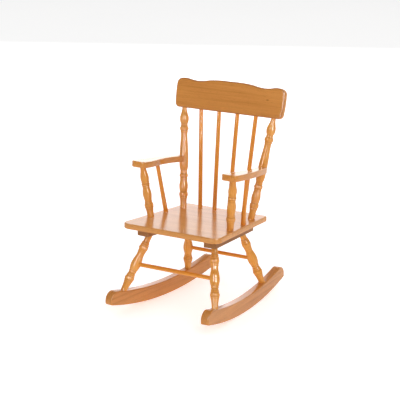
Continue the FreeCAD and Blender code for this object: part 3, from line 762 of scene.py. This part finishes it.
@dataclass
class Workshop:
    """Turns shapes into finished pieces that ride on the chair.

    Attributes:
        offsets: the random part of each piece's place in the log, from a fixed seed.
        spread: the most a piece may move along, across and through the log, in metres.
        materials: finishes already built.
    """

    offsets: np.random.Generator = field(default_factory=lambda: np.random.default_rng(17))
    spread: tuple[float, float, float] = (9.0, 0.012, 0.008)
    materials: dict[str, bpy.types.Material] = field(default_factory=dict)

    def finish(self, finish: LacqueredWood) -> bpy.types.Material:
        """Give out a finish's material, built the first time it is asked for.

        Args:
            finish: the wood finish.

        Returns:
            Its one material.
        """
        if finish.name not in self.materials:
            self.materials[finish.name] = finish.material()
        return self.materials[finish.name]

    def make(self, name: str, shape: Shape, place: Place, grain: Sequence[int], finish: LacqueredWood,
             nodes: Sequence[str], vary: bool = True) -> bpy.types.Object:
        """Write a shape as a mesh in the chair's frame, dress it, hang it on the root body and hide the nodes
        it stands for.

        Args:
            name: the piece's name.
            shape: the closed surface in its own axes.
            place: where those axes lie in the chair.
            grain: which own axes run along the grain, across it and through the board.
            finish: the wood finish.
            nodes: CAD nodes that the piece replaces.
            vary: whether the piece gets its own place in the log.

        Returns:
            The new object.
        """
        mesh = bpy.data.meshes.new(name)
        mesh.from_pydata((place.to_chair(shape.points) * MM).tolist(), [], shape.faces)
        mesh.polygons.foreach_set("use_smooth", np.ones(len(mesh.polygons), bool))
        log_place = shape.points[:, list(grain)] * MM
        if vary:
            log_place = log_place + self.offsets.uniform(-np.array(self.spread), self.spread)
        mesh.attributes.new("grain", "FLOAT_VECTOR", "POINT").data.foreach_set(
            "vector", log_place.astype(np.float32).ravel())
        mesh.attributes.new("relief", "FLOAT", "POINT").data.foreach_set(
            "value", shape.relief.astype(np.float32))
        mesh.update()
        piece = bpy.data.objects.new(name, mesh)
        bpy.context.scene.collection.objects.link(piece)
        piece.data.materials.append(self.finish(finish))
        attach(piece, "root")
        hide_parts(*nodes)
        log.info("%s: %d faces, stands for %s", name, len(mesh.polygons), ", ".join(nodes))
        return piece

    def stand(self, name: str, turning: Turning, foot: Array, head: Array, tenon: float,
              finish: LacqueredWood, node: str) -> bpy.types.Object:
        """Make a turned piece between two points, its grain along its axis.

        Args:
            name: the piece's name.
            turning: its profile.
            foot: where its axis leaves one surface.
            head: where its axis meets the other.
            tenon: how far each end goes into its board.
            finish: the wood finish.
            node: the CAD node that the piece replaces.

        Returns:
            The new object.
        """
        shape = turning.shape(float(np.linalg.norm(head - foot)), tenon)
        return self.make(name, shape, upright(foot, head), GRAIN_ALONG_Z, finish, [node])


@dataclass
class Seat:
    """The tapered seat board, glued up from staves that run from side to side."""

    front_width: float = 367.0
    back_width: float = 312.0
    depth: float = 361.0
    front_corner: float = 28.0
    back_corner: float = 9.0
    rim: float = 3.5

    def shape(self) -> Shape:
        """Work out the board: a trapezium with softened corners, its front edge at y = 0.

        Returns:
            The board in its own axes.
        """
        front, back = self.front_width / 2, self.back_width / 2
        corners = [(-front, 0), (front, 0), (back, self.depth), (-back, self.depth)]
        radii = [self.front_corner, self.front_corner, self.back_corner, self.back_corner]
        return board(outline(straight_edges(corners), radii), STANCE.seat_thickness, self.rim)

    def build(self, shop: Workshop) -> None:
        """Make the seat board and lay it at its tilt.

        Args:
            shop: where the piece is made.
        """
        place = tilted(STANCE.seat_top(0.0, STANCE.seat_front_y), -STANCE.seat_tilt)
        sunk = Place(place.origin - place.axes[:, 2] * STANCE.seat_thickness, place.axes)
        shop.make("seat_board", self.shape(), sunk, GRAIN_ALONG_X, SEAT_FINISH, ["seat"])


@dataclass
class Cleats:
    """The two cleats under the seat that take the legs, with the screws that hold them."""

    length: float = 276.0
    width: float = 44.0
    rim: float = 2.0
    corner: float = 2.2
    spacing: float = 1.3
    centre: tuple[float, float] = (116.0, -28.0)
    toe_in: float = 4.6
    screw_stand: float = 0.3

    def build(self, shop: Workshop) -> None:
        """Make both cleats. Each stops a hair above its screws' heads, so that those stay visible.

        Args:
            shop: where the pieces are made.
        """
        half, run = self.width / 2, self.length / 2
        corners = [(-half, -run), (half, -run), (half, run), (-half, run)]
        ring = outline(straight_edges(corners), [self.corner] * 4, self.spacing)
        shape = board(ring, STANCE.cleat_height - self.screw_stand, self.rim)
        for side in Side:
            middle = side.mirror(STANCE.cleat_bottom(*self.centre))
            place = tilted(middle, -STANCE.seat_tilt, side.value * self.toe_in)
            lifted = Place(place.origin + place.axes[:, 2] * self.screw_stand, place.axes)
            shop.make(f"cleat_board_{side.word}", shape, lifted, GRAIN_ALONG_Y, CLEAT_FINISH,
                      [f"cleat_{side.word}"])


@dataclass
class Rockers:
    """The two bowed rockers."""

    length: float = 572.0
    width: float = 28.0
    nose: float = 29.0
    tail: float = 30.0
    heel: float = 6.5
    rim: float = 3.0
    curve_points: int = 240
    centre_x: float = 158.5
    toe_in: float = 4.63

    def shape(self) -> Shape:
        """Work out a rocker: two arcs of one radius, one rocker height apart, joined by softened ends.

        Returns:
            The rocker on its side, its length along X and its height along Y.
        """
        end = self.length / 2
        sagitta = STANCE.rocker_radius - math.sqrt(STANCE.rocker_radius**2 - end**2)
        nose, tail = STANCE.rocker_floor(-end), STANCE.rocker_floor(end)
        rise = STANCE.rocker_height
        edges = [arc((-end, nose), (end, tail), -sagitta, self.curve_points),
                 arc((end, tail), (end, tail + rise)),
                 arc((end, tail + rise), (-end, nose + rise), sagitta, self.curve_points),
                 arc((-end, nose + rise), (-end, nose))]
        radii = [self.heel, self.heel, self.tail, self.nose]
        return board(outline(edges, radii), self.width, self.rim)

    def build(self, shop: Workshop) -> None:
        """Make both rockers, each turned a little so that they close towards the back.

        Args:
            shop: where the pieces are made.
        """
        shape = self.shape()
        for side in Side:
            turn = math.radians(side.value * self.toe_in)
            along = np.array([-math.sin(turn), math.cos(turn), 0.0])
            across = np.array([math.cos(turn), math.sin(turn), 0.0])
            origin = np.array([side.value * self.centre_x, 0.0, 0.0]) - across * self.width / 2
            place = Place(origin, np.stack([along, [0.0, 0.0, 1.0], across], 1))
            shop.make(f"rocker_{side.word}_bow", shape, place, GRAIN_ALONG_X, ROCKER_FINISH,
                      [f"rocker_{side.word}"])


@dataclass
class Legs:
    """The four turned legs and the two stretchers between them."""

    tenon: float = 6.0
    stretcher_height: float = 94.0
    stretcher_inset: float = 6.0
    turning: Turning = Turning(
        stations=((0, 20.6), (8, 21.2), (18, 22.6), (27, 25.2), (33, 27.2), (37, 29.8), (42, 31.4),
                  (47, 29.6), (51, 26.4), (57, 24.2), (62, 23.0), (68, 24.4), (76, 28.2), (84, 31.4),
                  (92, 32.6), (102, 31.2), (113, 27.6), (122, 24.2), (132, 24.0), (140, 25.8), (145, 28.6),
                  (150, 30.2), (155, 28.6), (161, 26.6), (168, 23.6), (175, 20.4), (184, 20.2), (198, 20.6)),
        beads=(Bead(33.4, 1.6, 0.7), Bead(36.6, 1.1, -0.9), Bead(48.6, 1.1, -0.9), Bead(51.8, 1.7, 0.9),
               Bead(57.4, 1.9, 0.8), Bead(60.4, 1.2, -0.5), Bead(66.4, 1.9, 0.7), Bead(69.6, 1.0, -0.4),
               Bead(136.6, 1.8, 0.6), Bead(144.0, 1.1, -0.8), Bead(156.4, 1.1, -0.8), Bead(159.8, 1.9, 0.8),
               Bead(163.4, 1.0, -0.6), Bead(167.4, 2.0, 0.8), Bead(171.2, 1.0, -0.5)))
    stretcher: Turning = Turning(stations=((0, 13.0), (60, 13.6), (140, 13.9), (220, 13.6), (280, 13.0)),
                                 facets=40, spacing=2.0)
    back_stretcher: Turning = Turning(stations=((0, 11.9), (60, 12.4), (120, 12.6), (180, 12.4), (230, 11.9)),
                                      facets=40, spacing=2.0)

    def build(self, shop: Workshop) -> None:
        """Make the legs, and at each end of the chair the stretcher between them.

        Args:
            shop: where the pieces are made.
        """
        for end in End:
            foot, head = STANCE.leg(end)
            word = end.name.lower()
            for side in Side:
                shop.stand(f"leg_{word}_{side.word}_turned", self.turning, side.mirror(foot),
                           side.mirror(head), self.tenon, TURNED_FINISH, f"leg_{word}_{side.word}")
            joint = foot + (head - foot) / np.linalg.norm(head - foot) * self.stretcher_height
            turning = self.stretcher if end is End.FRONT else self.back_stretcher
            shop.stand(f"stretcher_{word}_rod", turning, Side.LEFT.mirror(joint), joint,
                       -self.stretcher_inset, DOWEL_FINISH, f"stretcher_{word}")


@dataclass
class Back:
    """The two turned back posts, the four plain spindles and the crest rail."""

    foot_spacing: float = 56.0
    head_spacing: float = 70.0
    spindle_foot_y: float = 118.0
    crest_length: float = 412.0
    crest_height: float = 103.0
    crest_thickness: float = 20.8
    crest_corner: float = 14.0
    crest_rim: float = 5.0
    tenon: float = 6.0
    post: Turning = Turning(
        stations=((0, 21.6), (20, 21.6), (30, 23.4), (36, 26.2), (43, 29.4), (49, 28.4), (54, 25.0),
                  (60, 26.6), (68, 28.8), (74, 29.0), (83, 26.6), (93, 23.8), (100, 24.2), (104, 26.6),
                  (108, 28.4), (112, 26.4), (117, 22.8), (123, 22.4), (132, 26.8), (142, 29.2), (158, 29.9),
                  (178, 29.0), (205, 26.6), (238, 22.2), (248, 21.8), (256, 23.4), (261, 27.0), (266, 29.0),
                  (271, 26.6), (277, 21.6), (282, 22.6), (289, 27.6), (297, 29.8), (305, 28.6), (314, 23.4),
                  (322, 19.0), (331, 15.6), (336, 15.0)),
        beads=(Bead(37.4, 1.1, -0.7), Bead(33.6, 1.8, 0.6), Bead(52.4, 1.1, -0.8), Bead(55.6, 1.6, 0.6),
               Bead(101.6, 1.1, -0.8), Bead(114.4, 1.1, -0.8), Bead(98.0, 1.6, 0.6), Bead(118.4, 1.6, 0.6),
               Bead(258.6, 1.1, -0.8), Bead(255.0, 1.8, 0.7), Bead(273.2, 1.1, -0.8), Bead(276.8, 1.6, 0.7)))
    spindle: Turning = Turning(stations=((0, 14.2), (60, 13.9), (170, 13.6), (280, 13.3), (340, 13.0)),
                               facets=40, spacing=2.5)

    def crest(self) -> Shape:
        """Work out the crest rail: a long board with a raised middle, dips and softened ears.

        The right half's points are shares of the length and height, from the middle of the top edge round
        to the bottom edge, with the bulge of the arc from each to the next. The left half mirrors them.

        Returns:
            The rail in its own axes, its length along X and its height along Y.
        """
        half = ((0, 1.0), (0.170, 0.983), (0.226, 0.948), (0.383, 0.944), (0.461, 0.953), (0.500, 0.770),
                (0.495, 0.150), (0.460, 0.0))
        bulges = (1.3, 0.5, -3.3, 1.9, 4.6, 1.5, 4.5)
        right = [(x * self.crest_length, z * self.crest_height) for x, z in half]
        left = [(-x, z) for x, z in right[::-1]]
        edges = [arc(*ends) for ends in zip(right, right[1:], bulges)]
        edges.append(arc(right[-1], left[0]))
        edges += [arc(*ends) for ends in zip(left, left[1:], bulges[::-1])]
        ring = outline(edges, [self.crest_corner] * len(edges))
        return board(ring, self.crest_thickness, self.crest_rim)

    def build(self, shop: Workshop) -> None:
        """Make the posts, the spindles and the crest rail.

        Args:
            shop: where the pieces are made.
        """
        foot, head = STANCE.post()
        for side in Side:
            shop.stand(f"back_post_{side.word}_turned", self.post, side.mirror(foot), side.mirror(head),
                       self.tenon, TURNED_FINISH, f"back_post_{side.word}")
        for number, share in enumerate((-1.5, -0.5, 0.5, 1.5), start=1):
            low = STANCE.seat_top(share * self.foot_spacing, self.spindle_foot_y)
            high = STANCE.crest_bottom(share * self.head_spacing)
            shop.stand(f"back_spindle_{number}_rod", self.spindle, low, high, self.tenon, DOWEL_FINISH,
                       f"back_spindle_{number}")
        lean = math.radians(STANCE.crest_lean)
        up = np.array([0.0, math.sin(lean), math.cos(lean)])
        front = np.array([0.0, -math.cos(lean), math.sin(lean)])
        origin = STANCE.crest_bottom(0.0) - front * self.crest_thickness / 2
        place = Place(origin, np.stack([[1.0, 0.0, 0.0], up, front], 1))
        shop.make("crest_board", self.crest(), place, GRAIN_ALONG_X, CREST_FINISH, ["crest_rail"], vary=False)


@dataclass
class Arms:
    """The two shaped arms, their turned front posts, their plain spindles and their screw plugs.

    Attributes:
        inner, outer: how far the front corners lie from the chair's middle.
        waist_share, waist_inset: where along the arm the inner edge's two arcs meet, and how far out.
        lap: how far the inner edge has come back past its front corner at the rear end.
        outer_taper: how far the outer edge has come in at the rear end.
        hollow, front_bulge, outer_bulge: bulges of the inner edge's rear arc, the front and the outer edge.
        corners: radii at the start of each edge, from the inner front corner round.
        cope: radius of the hollow in the rear end.
        rim_run: distance over which the rim grows from the cope to its full size.
        plug_radius, plug_rise, plug_dome: size of a plug, and how far its side and dome stand out.
        plug_start: how far behind the post's axis a plug's foot lies.
    """

    inner: float = 141.5
    outer: float = 198.5
    front_y: float = -127.0
    length: float = 246.0
    waist_share: float = 0.342
    waist_inset: float = 6.0
    lap: float = 2.5
    outer_taper: float = 27.5
    hollow: float = 10.0
    front_bulge: float = 1.5
    outer_bulge: float = 8.0
    corners: tuple[float, ...] = (16.0, 17.0, 1.8, 0.8, 1.4, 0.1)
    spacing: float = 1.2
    rim: float = 3.0
    rim_run: float = 9.0
    cope: float = 15.2
    tenon: float = 6.0
    post_foot: tuple[float, float] = (151.0, -81.0)
    post_head: tuple[float, float] = (170.5, -96.0)
    spindle_foot: tuple[float, float] = (148.0, 5.0)
    spindle_head: tuple[float, float] = (170.5, -10.0)
    post: Turning = Turning(
        stations=((0, 22.0), (14, 22.2), (26, 24.4), (32, 27.2), (38, 29.4), (43, 28.2), (48, 24.4),
                  (54, 23.4), (62, 25.0), (72, 28.2), (79, 28.6), (90, 25.6), (100, 22.8), (105, 23.8),
                  (110, 27.4), (115, 24.0), (120, 24.6), (130, 27.6), (136, 27.2), (147, 23.4), (156, 20.0),
                  (164, 18.6), (170, 18.4)),
        beads=(Bead(31.4, 1.8, 0.6), Bead(34.0, 1.0, -0.7), Bead(45.6, 1.1, -0.8), Bead(48.8, 1.6, 0.6),
               Bead(102.6, 1.6, 0.7), Bead(106.2, 1.0, -0.8), Bead(113.8, 1.0, -0.8), Bead(117.4, 1.6, 0.7)))
    spindle: Turning = Turning(stations=((0, 15.2), (40, 14.2), (90, 13.2), (140, 13.0), (164, 13.0)),
                               facets=40, spacing=2.5)
    plug_radius: float = 5.0
    plug_rise: float = 5.2
    plug_dome: float = 1.6
    plug_start: float = 9.4
    plug_facets: int = 36

    def post_crossing(self) -> Array:
        """Find where the back post's axis crosses the arm board's middle plane.

        Returns:
            The crossing in the arm's plan, on the right half.
        """
        place = tilted(STANCE.arm_bottom(0.0, self.front_y), -STANCE.arm_slope)
        foot, head = STANCE.post()
        start, way = (foot - place.origin) @ place.axes, (head - foot) @ place.axes
        share = (STANCE.arm_thickness / 2 - start[2]) / way[2]
        return (start + way * share)[:2]

    def shape(self, side: Side) -> Shape:
        """Work out an arm: a rounded paddle in front, a waist, and a rear end hollowed round the post.

        The inner edge is two arcs that meet with one tangent, so the front arc's bulge is half its chord
        times the tangent of the rear arc's end angle less half the kink between the chords. The hollow
        round the post is the part of a circle that lies inside the board.

        Args:
            side: the half that the arm is for.

        Returns:
            The arm in its own axes, its front edge at y = 0.
        """
        turn = np.array([self.inner + self.waist_inset, self.length * self.waist_share])
        lap = np.array([self.inner - self.lap, self.length])
        outer_end = np.array([self.outer - self.outer_taper, self.length])
        kink = math.atan((turn[0] - lap[0]) / (lap[1] - turn[1]))
        kink += math.atan((turn[0] - self.inner) / turn[1])
        hollow_chord = float(np.hypot(*(lap - turn)))
        swell_chord = math.hypot(turn[0] - self.inner, turn[1])
        swell = swell_chord / 2 * math.tan(math.atan(2 * self.hollow / hollow_chord) - kink / 2)
        centre = self.post_crossing()
        reach = math.sqrt(self.cope**2 - (self.length - centre[1])**2)
        inner_rear = arc(lap, turn, self.hollow, 200)
        inner_rear = inner_rear[np.hypot(*(inner_rear - centre).T) > self.cope]
        first = math.atan2(self.length - centre[1], reach)
        last = math.atan2(*(inner_rear[0] - centre)[::-1])
        angle = np.linspace(first, last, 40)
        cope = centre + self.cope * np.stack([np.cos(angle), np.sin(angle)], 1)
        edges = [arc((self.inner, 0), (self.outer, 0), -self.front_bulge),
                 arc((self.outer, 0), outer_end, -self.outer_bulge, 120),
                 arc(outer_end, cope[0], 0.0, 12), cope, inner_rear, arc(turn, (self.inner, 0), -swell)]
        ring = outline(edges, self.corners, self.spacing)
        nearness = np.hypot(*(ring - centre).T)
        ease = np.clip((nearness - self.cope - 0.5) / self.rim_run, 0.22, 1.0)
        ring = ring * np.array([side.value, 1.0])
        if side is Side.LEFT:
            ring, ease = ring[::-1], ease[::-1]
        return board(ring, STANCE.arm_thickness, self.rim, ease)

    def build(self, shop: Workshop) -> None:
        """Make both arms with their posts, spindles and plugs.

        Args:
            shop: where the pieces are made.
        """
        board_place = tilted(STANCE.arm_bottom(0.0, self.front_y), -STANCE.arm_slope)
        post_foot, post_head = STANCE.seat_top(*self.post_foot), STANCE.arm_bottom(*self.post_head)
        rod_foot, rod_head = STANCE.seat_top(*self.spindle_foot), STANCE.arm_bottom(*self.spindle_head)
        for side in Side:
            shop.make(f"arm_board_{side.word}", self.shape(side), board_place, GRAIN_ALONG_Y, ARM_FINISH,
                      [f"arm_{side.word}"])
            shop.stand(f"arm_post_{side.word}_turned", self.post, side.mirror(post_foot),
                       side.mirror(post_head), self.tenon, TURNED_FINISH, f"arm_post_{side.word}")
            shop.stand(f"arm_spindle_{side.word}_rod", self.spindle, side.mirror(rod_foot),
                       side.mirror(rod_head), self.tenon, DOWEL_FINISH, f"arm_spindle_{side.word}")
            self.plug(shop, side, board_place)

    def plug(self, shop: Workshop, side: Side, board_place: Place) -> None:
        """Make the low domed plug over the screw behind a back post.

        Up the dome the height goes as the sine of an angle and the radius as a power of its cosine, so the
        plug's end is a shallow cushion.

        Args:
            shop: where the piece is made.
            side: the arm it belongs to.
            board_place: the arm board's place.
        """
        across = self.post_crossing()
        middle = board_place.to_chair(np.array([side.value * (across[0] + 1.0), across[1],
                                                STANCE.arm_thickness / 2]))
        back = board_place.axes[:, 1]
        angle = np.radians(np.linspace(0.0, 86.0, 14))
        height = np.concatenate([[0.0, 2.0], self.plug_rise + self.plug_dome * np.sin(angle)])
        radius = self.plug_radius * np.concatenate([[1.0, 1.0], np.cos(angle)**0.6])
        shape = lathe(radius, height, np.zeros(len(height)), self.plug_facets)
        seat = middle + back * self.plug_start
        shop.make(f"arm_plug_{side.word}", shape, upright(seat, seat + back), GRAIN_ALONG_X, PLUG_FINISH,
                  ["arm_screw_plugs"])


@dataclass
class Fasteners:
    """The screws and brads, which keep their own shapes and take plated steel."""

    nodes: tuple[str, ...] = ("cleat_screws", "rocker_screws", "arm_screws", "crest_brads")

    def build(self) -> None:
        """Dress the fasteners."""
        steel = PlatedSteel().material()
        for name in self.nodes:
            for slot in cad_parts[name].material_slots:
                slot.material = steel
            log.info("%s: plated steel", name)


@dataclass
class Studio:
    """The floor, the light and the camera.

    Attributes:
        azimuth, elevation: where the camera stands round the chair, in degrees.
        distance: how far it stands from the point it looks at, in metres.
        target: that point, in metres.
        lens, sensor: focal length and sensor width, in millimetres.
        middle: the point that the lamps face, in metres.
        floor_reach: half the floor's width, in metres.
        floor_squares: number of squares along the floor's edge.
        floor_sink: how far the floor lies below the rockers, in metres.
        air: brightness of the air all round.
    """

    azimuth: float = 31.81
    elevation: float = 15.148
    distance: float = 4.873
    target: tuple[float, float, float] = (0.0, -0.0186, 0.3535)
    lens: float = 135.0
    sensor: float = 36.0
    middle: tuple[float, float, float] = (0.0, 0.0, 0.35)
    floor_reach: float = 14.0
    floor_squares: int = 28
    floor_sink: float = 0.0002
    air: float = 0.28

    def toward(self, azimuth: float, elevation: float) -> Array:
        """Return the direction from the chair to an azimuth and elevation in degrees."""
        a, e = math.radians(azimuth), math.radians(elevation)
        return np.array([math.sin(a) * math.cos(e), -math.cos(a) * math.cos(e), math.sin(e)])

    def aim(self, thing: bpy.types.Object, spot: Array, target: Array) -> None:
        """Put a lamp or camera at a spot and point its -Z axis at a target, its Y axis upwards.

        Args:
            thing: the lamp or camera.
            spot: where it stands.
            target: what it faces.
        """
        back = (spot - target) / np.linalg.norm(spot - target)
        right = np.cross([0.0, 0.0, 1.0], back)
        right /= np.linalg.norm(right)
        columns = np.stack([right, np.cross(back, right), back], 1)
        thing.matrix_world = Matrix.Translation(spot.tolist()) @ Matrix(columns.tolist()).to_4x4()

    def lamp(self, name: str, azimuth: float, elevation: float, reach: float, size: tuple[float, float],
             radiance: float, role: Glow = Glow.LAMP) -> None:
        """Hang one softbox, unseen by the camera.

        Args:
            name: the lamp's name.
            azimuth: its place round the chair, in degrees.
            elevation: its height as an angle, in degrees.
            reach: its distance from the chair's middle, in metres.
            size: its width and height, in metres.
            radiance: its brightness; the power is this times pi times its area.
            role: whether it lights surfaces, is mirrored in them, or both.
        """
        data = bpy.data.lights.new(name, "AREA")
        data.shape = "RECTANGLE"
        data.size, data.size_y = size
        data.energy = radiance * math.pi * size[0] * size[1]
        thing = bpy.data.objects.new(name, data)
        thing.visible_camera = False
        thing.visible_glossy = role is not Glow.FILL
        thing.visible_diffuse = role is not Glow.CARD
        bpy.context.scene.collection.objects.link(thing)
        middle = np.array(self.middle)
        self.aim(thing, middle + self.toward(azimuth, elevation) * reach, middle)

    def lay_floor(self) -> None:
        """Lay the floor: a level grid of squares just below the rockers."""
        mesh = bpy.data.meshes.new("studio_floor")
        across = self.floor_squares + 1
        lines = np.linspace(-self.floor_reach, self.floor_reach, across)
        x, y = np.meshgrid(lines, lines)
        points = np.stack([x.ravel(), y.ravel(), np.full(x.size, -self.floor_sink)], 1)
        row, column = np.meshgrid(np.arange(self.floor_squares), np.arange(self.floor_squares), indexing="ij")
        here = (row * across + column).ravel()
        squares = np.stack([here, here + 1, here + across + 1, here + across], 1)
        mesh.from_pydata(points.tolist(), [], squares.tolist())
        floor = bpy.data.objects.new("studio_floor", mesh)
        floor.data.materials.append(PaperFloor().material())
        bpy.context.scene.collection.objects.link(floor)

    def light(self) -> None:
        """Dim the air and hang the lamps.

        The ceiling and front banks only light, the backdrop lights and lies in the seat's gloss, and the
        two cards are the bright lines in the lacquer.
        """
        world = bpy.data.worlds.new("studio_air")
        world.use_nodes = True
        world.node_tree.nodes["Background"].inputs[0].default_value = (1.0, 0.99, 0.98, 1.0)
        world.node_tree.nodes["Background"].inputs[1].default_value = self.air
        bpy.context.scene.world = world
        self.lamp("ceiling_bank", 0.0, 89.0, 6.0, (20.0, 20.0), 0.36, Glow.FILL)
        self.lamp("front_bank", self.azimuth + 12.0, 30.0, 3.5, (2.6, 1.8), 1.9, Glow.FILL)
        self.lamp("backdrop_glow", self.azimuth + 174.0, 15.0, 5.0, (8.5, 2.6), 1.85)
        self.lamp("right_card", self.azimuth + 34.0, 25.0, 3.0, (0.7, 2.2), 60.0, Glow.CARD)
        self.lamp("left_card", self.azimuth - 34.0, 25.0, 3.0, (0.6, 2.2), 42.0, Glow.CARD)

    def build(self) -> None:
        """Lay the floor, light the scene and set the camera."""
        self.lay_floor()
        self.light()
        scene = bpy.context.scene
        scene.view_settings.view_transform = "Standard"
        data = bpy.data.cameras.new("studio_camera")
        data.lens = self.lens
        data.sensor_width = self.sensor
        data.clip_end = 60.0
        camera = bpy.data.objects.new("studio_camera", data)
        scene.collection.objects.link(camera)
        target = np.array(self.target)
        self.aim(camera, target + self.toward(self.azimuth, self.elevation) * self.distance, target)
        scene.camera = camera


def main() -> None:
    """Build the chair from the floor up, then the studio."""
    logging.basicConfig(level=logging.INFO, format="%(name)s: %(message)s")
    shop = Workshop()
    for assembly in (Rockers(), Legs(), Cleats(), Seat(), Back(), Arms()):
        log.info("%s", type(assembly).__name__)
        assembly.build(shop)
    Fasteners().build()
    Studio().build()


if __name__ == "__main__":
    main()
